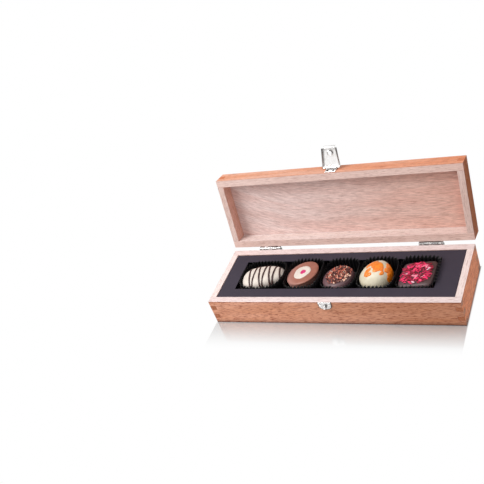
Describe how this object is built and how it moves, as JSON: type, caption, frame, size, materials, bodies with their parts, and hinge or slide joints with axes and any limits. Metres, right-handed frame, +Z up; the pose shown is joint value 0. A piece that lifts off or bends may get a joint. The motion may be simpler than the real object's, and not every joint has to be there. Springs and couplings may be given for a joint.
{
  "type": "box of chocolates",
  "caption": "Long wooden gift box with finger-jointed corners, a hinged lid and a swing clasp, holding a row of decorated chocolates in pleated paper cups set in a black card insert.",
  "frame": {"origin": "middle of the case's underside, on the surface that the box stands on", "axes": "+X along the box to the right as seen from the front, +Y from the front to the hinges, +Z up"},
  "size_m": [0.235, 0.1107, 0.117],
  "materials": {
    "board_wood": "sanded, bare",
    "panel_wood": "sanded, bare",
    "nickel": "nickel plated",
    "card": "matt card",
    "cup_paper": "pleated paper",
    "white_chocolate": "satin",
    "milk_chocolate": "satin",
    "dark_chocolate": "satin",
    "pink_sugar": "matt",
    "nibs": "rough",
    "orange": "candied",
    "berry": "rough"
  },
  "bodies": {
    "case": {"card_insert": "card", "card_riser": "card", "case_back": "board_wood", "case_bottom": "panel_wood", "case_front": "board_wood", "case_left": "board_wood", "case_right": "board_wood", "catch_nail_1": "nickel", "catch_nail_2": "nickel", "catch_plate": "nickel", "dome_chocolate": "white_chocolate", "dome_cup": "cup_paper", "dome_orange_1": "orange", "dome_orange_2": "orange", "dome_orange_3": "orange", "dome_orange_4": "orange", "left_hinge_case_leaf": "nickel", "left_hinge_case_nail_1": "nickel", "left_hinge_case_nail_2": "nickel", "left_hinge_pin": "nickel", "nib_chocolate": "dark_chocolate", "nib_crust": "nibs", "nib_cup": "cup_paper", "oval_chocolate": "white_chocolate", "oval_cup": "cup_paper", "oval_drizzle": "dark_chocolate", "right_hinge_case_leaf": "nickel", "right_hinge_case_nail_1": "nickel", "right_hinge_case_nail_2": "nickel", "right_hinge_pin": "nickel", "round_chocolate": "milk_chocolate", "round_cup": "cup_paper", "round_dot": "pink_sugar", "round_spot": "white_chocolate", "square_chocolate": "dark_chocolate", "square_crust": "berry", "square_cup": "cup_paper"},
    "lid": {"clasp_nail_1": "nickel", "clasp_nail_2": "nickel", "clasp_pin": "nickel", "clasp_plate": "nickel", "left_hinge_lid_leaf": "nickel", "left_hinge_lid_nail_1": "nickel", "left_hinge_lid_nail_2": "nickel", "lid_back": "board_wood", "lid_front": "board_wood", "lid_left": "board_wood", "lid_panel": "panel_wood", "lid_right": "board_wood", "right_hinge_lid_leaf": "nickel", "right_hinge_lid_nail_1": "nickel", "right_hinge_lid_nail_2": "nickel"},
    "clasp": {"clasp_arm": "nickel"}
  },
  "joints": [
    {"name": "lid_hinge", "type": "hinge", "parent": "case", "child": "lid", "pos_m": [0, 0.03815, 0.02646], "axis": [1, 0, 0], "range_deg": [0, 101.1]},
    {"name": "clasp_hinge", "type": "hinge", "parent": "lid", "child": "clasp", "pos_m": [-0.0008, 0.06108, 0.09941], "axis": [1, 0, 0], "range_deg": [0, 102.5]}
  ]
}
